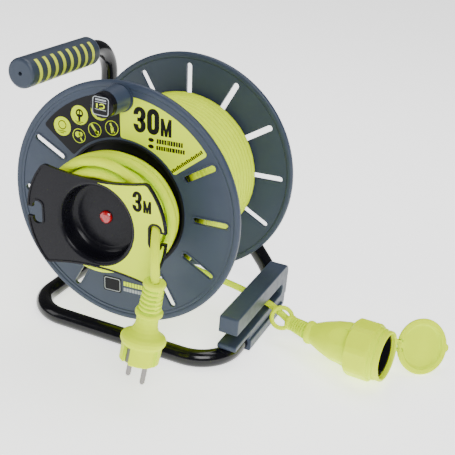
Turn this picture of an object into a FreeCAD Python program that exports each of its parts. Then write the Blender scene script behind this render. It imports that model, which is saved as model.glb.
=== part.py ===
import FreeCAD, Part
import math
import os

# Extension cord reel: a two-flange drum on a bent steel tube frame, with a carrying grip, a cord guide,
# a short lead in a tidy on the front of the drum, and a long cable that ends in a hinged-lid socket.
# Design axes: X to the right, Y from the front of the reel to the back along the drum axis, Z up, with
# zero at the drum's centre. The parts are moved at the end, so that the origin is on the ground.
# Millimetres and degrees throughout.

V = FreeCAD.Vector
ALONG_Y = V(0, 1, 0)

# ---- driving dimensions -------------------------------------------------------------------------------
flange_r = 120.0            # drum flanges
drum_half = 72.4            # drum centre to the outer edge of each rolled rim
web_front = 71.0            # drum centre to the outer face of each flange's web
web_thick = 3.0
rim_inner_r = 113.5
rim_depth = 6.0
drum_turn = 3.2             # the drum stands turned this far from level

slot_inner_r = 73.0
slot_outer_r = 109.0
slot_width = 6.3
front_slots = (0, 30, 150, 180, 210, 240, 300, 330)
rear_slots = tuple(range(0, 360, 30))

axle_r = 9.0                # the frame's tube, which is also the axle
tube_wall = 1.2
running_gap = 0.05
bush_r = 13.0

barrel_r = 52.0
barrel_wall = 2.5
winding_r = 82.0
well_r = 64.7               # opening for the lead tidy in the front flange
well_floor = 58.0           # drum centre to the floor of the well
well_wall = 2.4
tray_wall = 2.0
tray_floor = 62.0           # drum centre to the inside of the tray's floor
core_r = 41.0
core_wall = 2.6

plate_front = 121.0         # drum centre to the front face of the tidy plate
plate_thick = 2.6
plate_rib = 0.8             # height of the raised edge
plate_r = 72.0
plate_waist = 42.5          # half height of the plate at its middle
plate_edge_r = 224.0        # radius of the plate's hollow upper and lower edges
dish_r = 40.0
dish_floor = 101.0
label_thick = 0.35

cord_r = 4.25               # 3 m lead, three cores of 1.5 mm2
cable_r = 3.65              # 30 m cable
lead_length = 3000.0
cable_length = 30000.0

knob_at_r = 104.8
knob_at_deg = 90.5
knob_foot_r = 13.4          # raised ring on the flange under the knob
knob_foot = 73.1            # drum centre to the face of that ring
knob_base = 73.5
knob_front = 105.0          # drum centre to the knob's outer face

half_width = 110.0          # frame centre lines
ground_tube_z = -145.4
front_bar_y = -67.0
rear_left_y = 85.0
rear_right_y = 112.0
grip_z = 108.5
base_bend = 40.0
grip_bend = 34.0
axle_bend = 22.0
frame_back = 117.57         # furthest the bent tube reaches behind the drum's centre
axle_corner_y = 97.0
axle_end_y = -58.4          # front end of the tube; the drum's front hub is at 58.0
end_float = 0.4
grip_r = 14.7
grip_front = -77.5
grip_rear = 42.0
grip_bands = 8
band_first = -64.6          # first band, from the drum's centre
band_pitch = 13.1
band_half = 2.3
band_depth = 0.8
band_gap = 62.0             # degrees left open at the top of each band

guide_half = 10.25          # cord guide: half width, on the right ground tube
guide_front = -50.5
guide_rear = 94.0
guide_top = -98.5
guide_bar = -117.5          # under side of the upper arm
guide_floor = -130.0        # upper side of the lower arm
guide_slot_end = 79.0
guide_lip = -149.5
guide_end_round = 2.2       # rounds across the arms' front ends
guide_round = 1.6           # rounds along the outline
guide_screw_r = 1.5
guide_head_r = 2.8
guide_sink = 3.0            # depth of each screw's seat
guide_skin = 2.0            # plastic left over each screw's end

ground_z = ground_tube_z - axle_r
origin_x = (half_width + guide_half + 2.2 - half_width - grip_r) / 2
origin_y = (frame_back - plate_front - plate_rib) / 2


# ---- small helpers ------------------------------------------------------------------------------------
def turned(profile, start=None):
    """Solid of revolution about the Y axis from (radius, y) points."""
    wire = Part.makePolygon([V(r, y, 0) for r, y in profile + profile[:1]])
    return Part.Face(wire).revolve(V(0, 0, 0), ALONG_Y, 360)


def ring(outer, inner, y_low, y_high):
    return turned([(inner, y_low), (outer, y_low), (outer, y_high), (inner, y_high)])


def rod(radius, y_low, y_high, x=0.0, z=0.0):
    return Part.makeCylinder(radius, y_high - y_low, V(x, y_low, z), ALONG_Y)


def rod_along(radius, start, end):
    return Part.makeCylinder(radius, (end - start).Length, start, end - start)


def block(x_low, x_high, y_low, y_high, z_low, z_high):
    return Part.makeBox(x_high - x_low, y_high - y_low, z_high - z_low, V(x_low, y_low, z_low))


def polar(radius, degrees, y=0.0):
    a = math.radians(degrees)
    return V(radius * math.cos(a), y, radius * math.sin(a))


def spun(shape, degrees):
    """Turned about the drum axis, counted from +X towards +Z."""
    moved = shape.copy()
    moved.rotate(V(0, 0, 0), V(0, -1, 0), degrees)
    return moved


def sector(inner, outer, first, last, y_low, y_high, corner):
    """Part of a ring between two angles, with rounded corners."""
    a, b, c = (polar(outer, first, y_low), polar(outer, (first + last) / 2, y_low), polar(outer, last, y_low))
    d, e, f = (polar(inner, last, y_low), polar(inner, (first + last) / 2, y_low), polar(inner, first, y_low))
    wire = Part.Wire([Part.Arc(a, b, c).toShape(), Part.makeLine(c, d), Part.Arc(d, e, f).toShape(),
                      Part.makeLine(f, a)])
    solid = Part.Face(wire).extrude(V(0, y_high - y_low, 0))
    corners = [edge for edge in solid.Edges if abs(edge.tangentAt(0).y) > 0.99]
    return solid.makeFillet(corner, corners) if corner else solid


def joined(shapes):
    return shapes[0].multiFuse(shapes[1:]).removeSplitter() if len(shapes) > 1 else shapes[0]


def group(shapes):
    return Part.makeCompound(shapes)


def placed(shape, position, axis):
    """Shape drawn along +Y from zero, set at position with +Y turned onto axis."""
    moved = shape.copy()
    moved.Placement = FreeCAD.Placement(position, FreeCAD.Rotation(ALONG_Y, axis)).multiply(moved.Placement)
    return moved


def run(points, radii, section_r):
    """Round bar along straight runs joined by tangent arcs, with its centre line's length."""
    pieces = []
    length = 0.0
    start = points[0]
    for i in range(1, len(points)):
        heading = (points[i] - points[i - 1]).normalize()
        if i == len(points) - 1:
            end = points[i]
        else:
            onward = (points[i + 1] - points[i]).normalize()
            turn = heading.getAngle(onward)
            end = points[i] - heading * (radii[i - 1] * math.tan(turn / 2))
        pieces.append(rod_along(section_r, start, end))
        length += (end - start).Length
        if i == len(points) - 1:
            break
        axis = heading.cross(onward).normalize()
        centre = end + axis.cross(heading) * radii[i - 1]
        disc = Part.Face(Part.Wire(Part.makeCircle(section_r, end, heading)))
        pieces.append(disc.revolve(centre, axis, math.degrees(turn)))
        length += radii[i - 1] * turn
        start = points[i] + onward * (radii[i - 1] * math.tan(turn / 2))
    return joined(pieces), length


def cord_radii(points):
    """Radius of each arc, as large as its two runs allow."""
    radii = []
    for a, b, c in zip(points, points[1:], points[2:]):
        turn = (b - a).getAngle(c - b)
        radii.append(0.45 * min((b - a).Length, (c - b).Length) / math.tan(turn / 2))
    return radii


def cord(points, section_r):
    shape, length = run(points, cord_radii(points), section_r)
    return shape


def report_cord(name, points, section_r):
    """Prints a cord's length, its radii, and its volume against section times length."""
    radii = cord_radii(points)
    shape, length = run(points, radii, section_r)
    ideal = math.pi * section_r ** 2 * length
    print(name, "length %.1f" % length, "radii", [round(r) for r in radii],
          "volume / (section x length) %.4f" % (shape.Volume / ideal))


# ---- frame --------------------------------------------------------------------------------------------
frame_path = [
    V(0, axle_end_y, 0),
    V(0, axle_corner_y, 0),
    V(half_width, rear_right_y, ground_tube_z),
    V(half_width, front_bar_y, ground_tube_z),
    V(-half_width, front_bar_y, ground_tube_z),
    V(-half_width, rear_left_y, ground_tube_z),
    V(-half_width, rear_left_y, grip_z),
    V(-half_width, grip_front + 6, grip_z),
]
frame_bends = [axle_bend, base_bend, base_bend, base_bend, base_bend, grip_bend]


def frame_tube():
    outer, length = run(frame_path, frame_bends, axle_r)
    inner, length = run(frame_path, frame_bends, axle_r - tube_wall)
    return outer.cut(inner)


def band_places():
    return [band_first + band_pitch * i for i in range(grip_bands)]


def band_window():
    """Wedge over the top of the grip that the bands leave open."""
    half = band_gap / 2
    wedge = sector(1.0, grip_r + 3, 90 - half, 90 + half, grip_front - 5, grip_rear + 5, 0)
    return wedge


def band_ring(outer, inner):
    """The eight bands as one set of open rings of the given radii."""
    rings = [ring(outer, inner, y - band_half, y + band_half) for y in band_places()]
    return [one.cut(band_window()) for one in rings]


def grip_sleeve():
    """Foam sleeve, closed at the front but for a small vent hole, with a groove for each band."""
    chamfer = 3.0
    end_wall = 5.0
    vent_r = 1.9
    profile = [(vent_r, grip_front), (grip_r - chamfer, grip_front)]
    for degrees in (30, 60):
        a = math.radians(degrees)
        profile.append((grip_r - chamfer + chamfer * math.sin(a), grip_front + chamfer - chamfer * math.cos(a)))
    profile += [
        (grip_r, grip_front + chamfer), (grip_r, grip_rear - chamfer), (grip_r - 0.9, grip_rear - 0.9),
        (grip_r - chamfer, grip_rear), (axle_r, grip_rear), (axle_r, grip_front + end_wall + 1),
        (vent_r, grip_front + end_wall + 1),
    ]
    sleeve = turned(profile).cut(group(band_ring(grip_r + 1, grip_r - band_depth)))
    sleeve.translate(V(-half_width, 0, grip_z))
    return sleeve


def grip_rings():
    bands = band_ring(grip_r + 0.1, grip_r - band_depth)
    for band in bands:
        band.translate(V(-half_width, 0, grip_z))
    return group(bands)


def axle_plug():
    """Threaded plug pressed into the end of the axle."""
    plug = rod(axle_r - tube_wall, axle_end_y, axle_end_y + 20)
    return plug.cut(rod(4.0, axle_end_y - 1, axle_end_y + 17))


def axle_washer():
    return ring(17.0, 4.2, axle_end_y - 2.0, axle_end_y)


def axle_bolt():
    """Hexagon bolt that keeps the drum on the axle."""
    head = Part.Face(Part.makePolygon([polar(7.5, 60 * i) for i in range(7)])).extrude(V(0, -5.3, 0))
    head.translate(V(0, axle_end_y - 2.0, 0))
    return joined([head, rod(4.0, axle_end_y - 2.0, axle_end_y + 15)])


def axle_collar():
    """Thrust washer between the rear flange and the axle's bend."""
    return ring(16.0, axle_r, web_front + end_float, 75.0)


# ---- cord guide ---------------------------------------------------------------------------------------
def guide_body():
    """Long fork that snaps over the ground tube: the cable lies between its arms."""
    x0 = half_width - guide_half
    x1 = half_width + guide_half
    body = block(x0, x1, guide_front, guide_rear, guide_lip, guide_top)
    long_edges = [e for e in body.Edges if abs(e.tangentAt(0).x) > 0.9 and e.CenterOfMass.y > 0]
    body = body.makeFillet(9.0, long_edges)
    slot = block(x0 - 5, x1 + 5, guide_front - 5, guide_slot_end, guide_floor, guide_bar)
    slot = slot.makeFillet(5.5, [e for e in slot.Edges if abs(e.tangentAt(0).x) > 0.9 and e.CenterOfMass.y > 0])
    nose = block(x0 - 5, x1 + 5, guide_front - 5, -14.0, guide_lip - 9, ground_tube_z + axle_r + 0.3)
    body = body.cut(slot).cut(nose)
    ends = [e for e in body.Edges if abs(e.tangentAt(0).x) > 0.9 and e.CenterOfMass.y < guide_front + 0.1]
    body = body.makeFillet(guide_end_round, ends)
    outlines = [e for e in body.Edges if abs(abs(e.CenterOfMass.x - half_width) - guide_half) < 0.01]
    body = body.makeFillet(guide_round, outlines)
    tongue_end = -13.7
    hug_x = half_width + guide_half + 2.2
    hug = block(x1 - 4, hug_x, -22.0, 80.0, guide_lip - 3.0, ground_tube_z + 5.0)
    hug = hug.makeFillet(1.9, [e for e in hug.Edges if e.CenterOfMass.x > hug_x - 0.1])
    body = joined([body, hug.common(block(x0, hug_x + 1, tongue_end, 90, -170, 0))])
    sight = block(x0 - 5, hug_x + 5, 90.0, 200.0, guide_lip - 9, ground_tube_z + 11.5)
    ground_run = rod(axle_r + 0.02, -80, 140, half_width, ground_tube_z)
    return body.cut(ground_run).cut(sight).cut(guide_tube_path())


def guide_tube_path():
    """The stretch of the frame that the guide has to clear, with a little room."""
    shape, length = run(frame_path[1:5], frame_bends[1:3], axle_r + 0.4)
    keep = block(60, 160, 62, 140, -170, -90)
    keep = keep.fuse(block(60, 160, -120, -13.7, -170, -90))
    return shape.common(keep)


def guide_half_shell(side):
    """One half of the guide: side is -1 for the inner half, 1 for the outer half."""
    seam = 0.0
    if side < 0:
        window = block(half_width - 40, half_width - seam, -90, 140, -170, -60)
    else:
        window = block(half_width + seam, half_width + 40, -90, 140, -170, -60)
    half = guide_body().common(window)
    face = half_width - guide_half
    end = half_width + guide_half - guide_skin
    for y, z in guide_screw_places():
        through = rod_along(guide_screw_r, V(face, y, z), V(end, y, z))
        recess = rod_along(guide_head_r + 0.2, V(face - 6, y, z), V(face + guide_sink, y, z))
        half = half.cut(through).cut(recess)
    return half


def guide_screw_places():
    z = (guide_top + guide_bar) / 2
    return [(-34.0, z), (24.0, z), (86.0, z), (86.0, guide_floor + 1.6)]


def guide_screws():
    """Four screws put in from the inner side, with sunk heads."""
    screws = []
    seat = half_width - guide_half + guide_sink
    end = half_width + guide_half - guide_skin
    for y, z in guide_screw_places():
        shank = rod_along(guide_screw_r, V(seat, y, z), V(end, y, z))
        head = rod_along(guide_head_r, V(seat - 2.0, y, z), V(seat, y, z))
        screws.append(joined([shank, head]))
    return group(screws)


# ---- drum ---------------------------------------------------------------------------------------------
def slot_tool(degrees, width, y_low, y_high, inner=slot_inner_r, outer=slot_outer_r):
    """Radial slot with round ends."""
    half = width / 2
    bar = block(inner + half, outer - half, y_low, y_high, -half, half)
    ends = [rod(half, y_low, y_high, inner + half), rod(half, y_low, y_high, outer - half)]
    return spun(joined([bar] + ends), degrees)


def flange_rim(outer_y, sign):
    """Rolled rim section, drawn for the front flange and mirrored for the rear one."""
    half = rim_depth / 2
    middle = outer_y - half
    mean_r = (flange_r + rim_inner_r) / 2
    thick = (flange_r - rim_inner_r) / 2
    profile = []
    for i in range(24):
        a = 2 * math.pi * i / 24
        r = mean_r + thick * math.copysign(abs(math.cos(a)) ** 0.7, math.cos(a))
        y = middle + half * math.copysign(abs(math.sin(a)) ** 0.7, math.sin(a))
        profile.append((r, sign * y))
    return turned(profile)


def flange(sign, slots, inner_r):
    """Web, rolled rim, slots with raised borders, and a stiffening step inside the rim."""
    border = 1.5
    border_height = 0.6
    faces = sorted((sign * web_front, sign * (web_front - web_thick)))
    web = ring(rim_inner_r + 1.5, inner_r, faces[0], faces[1])
    raised = sorted((sign * web_front, sign * (web_front + border_height)))
    step = ring(rim_inner_r + 0.5, rim_inner_r - 2.0, raised[0], raised[1])
    solids = [web, flange_rim(drum_half, sign), step]
    for degrees in slots:
        solids.append(slot_tool(degrees, slot_width + 2 * border, raised[0], raised[1],
                                slot_inner_r - border, slot_outer_r + border))
    body = joined(solids)
    cutters = [slot_tool(degrees, slot_width, -90, 90) for degrees in slots]
    side = block(-200, 200, 0, 200, -200, 200) if sign > 0 else block(-200, 200, -200, 0, -200, 200)
    return body.cut(group(cutters).common(side))


def front_flange():
    """Front flange with the well that takes the lead tidy and a boss for the front bush."""
    outer = well_r + well_wall
    well = turned([
        (bush_r, -well_floor), (well_r, -well_floor), (well_r, -web_front), (outer, -web_front),
        (outer, -well_floor + 3.0), (bush_r + 4.0, -well_floor + 3.0), (bush_r + 4.0, -42.0), (bush_r, -42.0),
    ])
    body = joined([flange(-1, front_slots, well_r), well])
    for place in screw_places(44.0, 4, 45.0):
        body = body.cut(rod(2.0, -60, -50, place.x, place.z))
    for place in screw_places(30.0, 3, 90.0):
        body = body.cut(rod(1.7, -60, -50, place.x, place.z))
    pin = polar(knob_at_r, knob_at_deg)
    inner_boss = rod(8.0, -web_front + web_thick - 0.1, -64.0, pin.x, pin.z)
    foot = rod(knob_foot_r, -knob_foot, -web_front + 0.1, pin.x, pin.z)
    body = joined([body, inner_boss, foot])
    return spun(body.cut(rod(3.95, -80, -60, pin.x, pin.z)), drum_turn)


def rear_flange():
    """Rear flange with ribs on its outer face and a boss for the rear bush."""
    body = flange(1, rear_slots, bush_r)
    boss = ring(bush_r + 4.0, bush_r, 50.0, web_front - web_thick + 0.5)
    hub_ring = ring(barrel_r - barrel_wall, barrel_r - barrel_wall - 2.4, 60.0, web_front - web_thick + 0.5)
    body = joined([body, boss, hub_ring])
    for place in screw_places(44.0, 4, 45.0):
        body = body.cut(rod(2.0, 60, 80, place.x, place.z))
    return spun(body, drum_turn)


def barrel():
    """Tube that the cable is wound on, with four screw pillars inside."""
    front = -well_floor + 3.0
    rear = web_front - web_thick
    tube = ring(barrel_r, barrel_r - barrel_wall, front, 60.0)
    tube = joined([tube, ring(barrel_r, barrel_r - barrel_wall + 0.02, 60.0, rear)])
    pillars = []
    for place in screw_places(44.0, 4, 45.0):
        pillars.append(rod(6.0, front, 59.8, place.x, place.z))
    body = joined([tube] + pillars)
    for place in screw_places(44.0, 4, 45.0):
        body = body.cut(rod(1.6, front - 1, 61, place.x, place.z))
    return spun(body, drum_turn)


def screw_places(radius, count, first):
    return [polar(radius, first + 360.0 / count * i) for i in range(count)]


def screw(shank_r, shank_end, head_r, head_low, head_high, x, z, direction):
    """Pan head screw along Y. direction is 1 when its point is towards the back."""
    shank = rod(shank_r, min(head_high, shank_end), max(head_low, shank_end), x, z) if direction > 0 else \
        rod(shank_r, min(head_low, shank_end), max(head_low, shank_end), x, z)
    head = rod(head_r, head_low, head_high, x, z)
    hollow = rod(head_r * 0.35, head_low - 0.01, head_low + 1.0, x, z) if direction > 0 else \
        rod(head_r * 0.35, head_high - 1.0, head_high + 0.01, x, z)
    return joined([shank, head]).cut(hollow)


def flange_screws():
    """Eight screws: four hold each flange to the barrel's pillars."""
    front = [screw(1.6, -20.0, 3.6, -well_floor - 2.0, -well_floor, p.x, p.z, 1)
             for p in screw_places(44.0, 4, 45.0)]
    rear = [screw(1.6, 25.0, 3.6, web_front, web_front + 2.0, p.x, p.z, -1)
            for p in screw_places(44.0, 4, 45.0)]
    return group([spun(s, drum_turn) for s in front + rear])


def bush(y_low, y_high):
    return ring(bush_r, axle_r + running_gap, y_low, y_high)


def winding():
    """Outer shape of the wound 30 m cable."""
    outer = winding_r
    end = web_front - web_thick - 0.2
    well_outer = well_r + well_wall + 0.2
    return turned([
        (barrel_r + 0.05, -well_floor + 3.2), (well_outer, -well_floor + 3.2), (well_outer, -end),
        (outer - 1.5, -end), (outer, -end + 1.5), (outer, end - 1.5), (outer - 1.5, end), (barrel_r + 0.05, end),
    ])


# ---- lead tidy ----------------------------------------------------------------------------------------
def lead_tray():
    """Black cup in the well, with a lip round its mouth."""
    floor = -tray_floor
    lip = 1.0
    outer = well_r - 0.02
    profile = [
        (20.0, floor + 2.0), (outer, floor + 2.0), (outer, -web_front - lip), (outer - tray_wall, -web_front - lip),
        (outer - tray_wall, floor), (20.0, floor),
    ]
    body = turned(profile)
    feet = [rod(6.0, floor + 1.0, -well_floor, p.x, p.z) for p in screw_places(30.0, 3, 90.0)]
    body = joined([body] + feet)
    for p in screw_places(30.0, 3, 90.0):
        body = body.cut(rod(1.7, floor - 2, -well_floor + 1, p.x, p.z))
    for p in screw_places(44.0, 4, 45.0):
        body = body.cut(rod(4.2, floor - 2, -well_floor + 1, p.x, p.z))
    return spun(body, drum_turn)


def tray_core():
    """Core that the lead is wound on: it stands on the tray and carries the tidy plate."""
    return ring(core_r, core_r - core_wall, -plate_front + plate_thick, -tray_floor)


def tidy_outline(inset, y_low, y_high):
    """The plate's round-ended, hollow-sided outline as a solid slab, drawn in by inset."""
    disc = rod(plate_r - inset, y_low, y_high)
    for side in (-1, 1):
        centre = side * (plate_waist + plate_edge_r)
        disc = disc.cut(rod(plate_edge_r + inset, y_low - 1, y_high + 1, 0, centre))
    corners = [e for e in disc.Edges if e.Length < (y_high - y_low) * 1.01 and abs(e.tangentAt(0).y) > 0.99]
    corners = [e for e in corners if abs(e.CenterOfMass.x) < plate_r * 0.9 and abs(e.CenterOfMass.z) > 5]
    return disc.makeFillet(max(6.0 - inset, 1.0), corners)


def lead_notch(side, grow, y_low, y_high):
    """Hooked notch in the end of a lobe: a mouth in the edge and a taller pocket behind it."""
    pocket_x = 61.0
    pocket_half = 5.2 + grow
    tall = 11.0
    mouth = 4.7 + grow
    pocket = block(pocket_x - pocket_half, pocket_x + pocket_half, y_low, y_high, -tall - grow, tall + grow)
    pocket = pocket.makeFillet(pocket_half * 0.9, [e for e in pocket.Edges if abs(e.tangentAt(0).y) > 0.9])
    gate = block(pocket_x, plate_r + 9, y_low, y_high, -mouth, mouth)
    notch = joined([pocket, gate])
    return notch if side > 0 else notch.mirror(V(0, 0, 0), V(1, 0, 0))


def notches(grow, y_low, y_high):
    return group([lead_notch(side, grow, y_low, y_high) for side in (-1, 1)])


def dish_profile():
    """Section of the dish from the plate's face to its floor and back up its outer wall."""
    front = -plate_front
    floor = -dish_floor
    lip = 4.0
    corner = 7.0
    wall_r = dish_r - lip
    points = []
    for i in range(7):
        a = math.radians(90 * i / 6)
        points.append((dish_r - lip * math.sin(a), front + lip - lip * math.cos(a)))
    for i in range(9):
        a = math.radians(90 * i / 8)
        points.append((wall_r - corner + corner * math.cos(a), floor - corner + corner * math.sin(a)))
    back = floor + 2.2
    outer = core_r - core_wall - 0.1
    points += [(6.3, floor), (6.3, back), (outer - 6.0, back), (outer, back - 6.0)]
    points += [(outer, front + plate_thick), (dish_r, front + plate_thick)]
    return points


def tidy_plate():
    """Plate with a raised rib round its edge and a hooked notch in each lobe."""
    front = -plate_front
    back = front + plate_thick
    rib_width = 1.7
    slab = tidy_outline(0.0, front, back).cut(notches(0.0, front - 1, back + 1))
    edge = tidy_outline(0.0, front - plate_rib, front).cut(tidy_outline(rib_width, front - plate_rib - 1, front + 1))
    edge = edge.cut(notches(0.0, front - 2, back))
    rim = notches(rib_width, front - plate_rib, front).common(tidy_outline(0.0, front - plate_rib, front))
    rim = rim.cut(notches(0.0, front - 2, back))
    hole = rod(dish_r, front - 3, back + 1)
    return spun(joined([slab.cut(hole), edge.cut(hole), rim]), drum_turn)


def tidy_dish():
    """Round dish in the middle of the plate, with three bosses for the cut-out behind its floor."""
    body = turned(dish_profile())
    bosses = [rod(3.6, -dish_floor + 2.1, -dish_floor + 4.9, p.x, p.z) for p in screw_places(24.0, 3, 30.0)]
    body = joined([body] + bosses)
    for p in screw_places(24.0, 3, 30.0):
        body = body.cut(rod(1.2, -dish_floor + 1.6, -dish_floor + 6, p.x, p.z))
    return spun(body, drum_turn)


def tray_screws():
    """Three screws that hold the tray to the front flange."""
    screws = []
    for p in screw_places(30.0, 3, 90.0):
        screws.append(screw(1.7, -55.4, 3.4, -well_floor - 6.0, -well_floor - 4.0, p.x, p.z, 1))
    return group([spun(s, drum_turn) for s in screws])


def cutout_screws():
    """Three screws that hold the thermal cut-out to the bosses behind the dish."""
    screws = []
    ear_back = -dish_floor + 6.9
    for p in screw_places(24.0, 3, 30.0):
        screws.append(screw(1.2, -dish_floor + 2.0, 2.4, ear_back, ear_back + 1.6, p.x, p.z, -1))
    return group([spun(s, drum_turn) for s in screws])


def reset_button():
    """Round button of the thermal cut-out, with a stem and a domed face."""
    radius = 6.0
    front = -dish_floor - 3.4
    profile = [
        (0.0, front), (radius * 0.5, front + 0.25), (radius * 0.85, front + 0.8), (radius, front + 1.8),
        (radius, -dish_floor + 1.5), (2.5, -dish_floor + 1.5), (2.5, -dish_floor + 7.0), (0.0, -dish_floor + 7.0),
    ]
    return turned(profile)


def thermal_cutout():
    """Housing behind the dish that the button's stem goes into."""
    front = -dish_floor + 4.9
    body = block(-11, 11, front, front + 15, -14, 14)
    body = body.makeFillet(1.5, [e for e in body.Edges if abs(e.tangentAt(0).y) > 0.9])
    body = body.cut(rod(2.6, front - 1, front + 7))
    ears = [rod(4.0, front, front + 2.0, p.x, p.z) for p in screw_places(24.0, 3, 30.0)]
    spider = [spun(block(8, 24, front, front + 2, -2.5, 2.5), 30 + 120 * i) for i in range(3)]
    body = joined([body] + ears + spider)
    for p in screw_places(24.0, 3, 30.0):
        body = body.cut(rod(1.2, front - 3, front + 3, p.x, p.z))
    return spun(body.cut(rod(2.6, front - 1, front + 7)), drum_turn)


def cutout_tabs():
    """Two blade terminals on the back of the cut-out."""
    back = -dish_floor + 4.9 + 15
    tabs = [block(x - 0.4, x + 0.4, back, back + 7, -3.2, 3.2) for x in (-5.0, 5.0)]
    return group([spun(t, drum_turn) for t in tabs])


def terminal_block():
    """Three-way block that joins the lead to the cable, beside the axle bolt."""
    body = block(-15, 15, -76.0, -63.0, 20.0, 34.0)
    body = body.makeFillet(1.2, [e for e in body.Edges if abs(e.tangentAt(0).x) > 0.9])
    for x in (-10, 0, 10):
        body = body.cut(rod(2.2, -77.0, -70.0, x, 27.0))
    return spun(body.cut(rod(3.8, -66.0, -60.0, 0, 30.0)), drum_turn + 180)


def terminal_screws():
    screws = [rod(2.1, -75.5, -70.0, x, 27.0) for x in (-10, 0, 10)]
    return group([spun(s, drum_turn + 180) for s in screws])


def knob_pin():
    """Steel pin that the crank knob turns on, riveted through the front flange."""
    end = -knob_front + 5.0
    profile = [
        (0.0, end), (6.0, end), (6.0, end + 2.0), (3.95, end + 2.0), (3.95, -64.0), (6.5, -64.0),
        (6.5, -62.0), (0.0, -62.0),
    ]
    pin = turned(profile)
    pin.translate(polar(knob_at_r, knob_at_deg))
    return spun(pin, drum_turn)


def knob_sleeve():
    """Slightly tapered sleeve, hollow at its outer end for the head of the pin."""
    shoulder = -knob_front + 8.6
    end = -knob_front + 4.6
    inside = -knob_front + 7.5
    profile = [
        (4.0, -knob_base), (12.0, -knob_base), (12.6, -knob_base - 0.8), (12.0, shoulder), (10.9, shoulder),
        (10.9, end), (6.8, end), (6.8, inside), (4.0, inside),
    ]
    sleeve = turned(profile)
    sleeve.translate(polar(knob_at_r, knob_at_deg))
    return spun(sleeve, drum_turn)


def knob_cap():
    """Black cap over the outer end of the knob."""
    front = -knob_front
    profile = [
        (0.0, front), (9.2, front), (9.2, front + 0.5), (9.7, front + 0.5), (10.6, front + 0.9),
        (11.5, front + 2.2), (11.7, front + 8.3), (10.9, front + 8.3), (10.9, front + 4.4), (0.0, front + 4.4),
    ]
    cap = turned(profile)
    cap.translate(polar(knob_at_r, knob_at_deg))
    return spun(cap, drum_turn)


# ---- labels: thin plates on the flange and the tidy ---------------------------------------------------
label_inner = 66.9
label_outer = 107.5


def label_length():
    """Lime part of the flange label, with room for the knob's foot."""
    back = -web_front
    body = sector(label_inner, label_outer, 36.5, 91.0, back - label_thick, back, 3.0)
    at = polar(knob_at_r, knob_at_deg)
    return spun(body.cut(rod(knob_foot_r + 0.3, -90, -60, at.x, at.z)), drum_turn)


def label_icons():
    back = -web_front
    body = sector(label_inner, label_outer, 91.0, 141.2, back - label_thick, back, 3.0)
    at = polar(knob_at_r, knob_at_deg)
    return spun(body.cut(rod(knob_foot_r + 0.3, -90, -60, at.x, at.z)), drum_turn)


def label_tidy():
    """Lime label on the right lobe of the tidy plate."""
    front = -plate_front
    inset = 1.8
    slab = tidy_outline(inset, front - label_thick, front)
    slab = slab.cut(notches(inset, front - 2, front + 1)).cut(rod(dish_r + 0.6, front - 3, front + 1))
    right = block(4, 100, front - 2, front + 1, -100, 100)
    pieces = slab.common(right).Solids
    return spun(max(pieces, key=lambda s: s.Volume), drum_turn)


def badge():
    """Small blank badge low on the front flange."""
    wide = 20.0
    tall = 16.0
    at = polar(87.0, 261.3)
    body = block(at.x - wide / 2, at.x + wide / 2, -web_front - label_thick, -web_front,
                 at.z - tall / 2, at.z + tall / 2)
    body = body.makeFillet(2.2, [e for e in body.Edges if abs(e.tangentAt(0).y) > 0.9])
    return spun(body, drum_turn)


# ---- lead and plug ------------------------------------------------------------------------------------
def framed(shape, origin, y_axis, x_hint):
    """Shape drawn about +Y, set at origin with +Y on y_axis and +X as near x_hint as that allows."""
    x_axis = (x_hint - y_axis * x_hint.dot(y_axis)).normalize()
    z_axis = x_axis.cross(y_axis)
    matrix = FreeCAD.Matrix(
        x_axis.x, y_axis.x, z_axis.x, origin.x,
        x_axis.y, y_axis.y, z_axis.y, origin.y,
        x_axis.z, y_axis.z, z_axis.z, origin.z,
        0, 0, 0, 1)
    moved = shape.copy()
    moved.Placement = FreeCAD.Placement(matrix).multiply(moved.Placement)
    return moved


plug_top = V(68.6, -131.7, -33.2)
relief_axis = V(-14.2, -0.5, -107.7).normalize()
plug_axis = V(-0.057, -0.215, -0.975).normalize()
pin_side = V(0.942, -0.336, 0)
pin_pitch = 19.0
pin_r = 2.4
pin_length = 19.0
pin_root_r = 2.0            # the part of each pin inside the nose
pin_root = 12.0
relief_end = 34.6           # top of the lead's relief to the plug's body
plug_length = 45.5
plug_flange_r = 20.9
plug_nose_r = 18.6

lead_route = [
    V(46.5, -107.9, 32.5),
    V(55.0, -109.8, 18.3),
    V(60.9, -119.6, 4.6),
    V(65.2, -129.2, -7.4),
    V(67.8, -131.7, -20.6),
    plug_top,
]


def lead_coil():
    """Outer shape of the 3 m lead wound in the tidy."""
    return turned([(core_r + 0.6, -62.4), (61.0, -62.4), (61.0, -112.0), (core_r + 0.6, -112.0)])


def hanging_lead():
    return cord(lead_route, cord_r)


def plug_frame(shape):
    """Laid along the plug's axis from the relief's end, with the pins side by side along pin_side."""
    return framed(shape, plug_top + relief_axis * relief_end, plug_axis, pin_side)


def plug_relief():
    """Ribbed strain relief with a collar at each end."""
    bore = cord_r + 0.02
    root = 6.7
    profile = [(bore, 0.0), (9.2, 0.0), (10.1, 1.0), (10.3, 3.6), (9.4, 5.0), (root, 5.6)]
    ribs = 5
    pitch = 4.5
    for i in range(ribs):
        y = 7.2 + pitch * i
        crest = 9.5 + 0.2 * i
        profile += [(root, y), (crest, y + 0.2), (crest, y + 2.3), (root, y + 2.5)]
    profile += [(root, 29.6), (11.8, 30.0), (12.6, 31.4), (12.6, 33.0), (11.6, relief_end), (bore, relief_end)]
    body = turned(profile)
    web_end = 30.2
    for side in (-1, 1):
        low, high = sorted((side * (root - 1.5), side * 9.0))
        body = joined([body, block(low, high, 4.6, web_end, -2.4, 2.4)])
    return framed(body, plug_top, relief_axis, pin_side).cut(hanging_lead())


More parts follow.
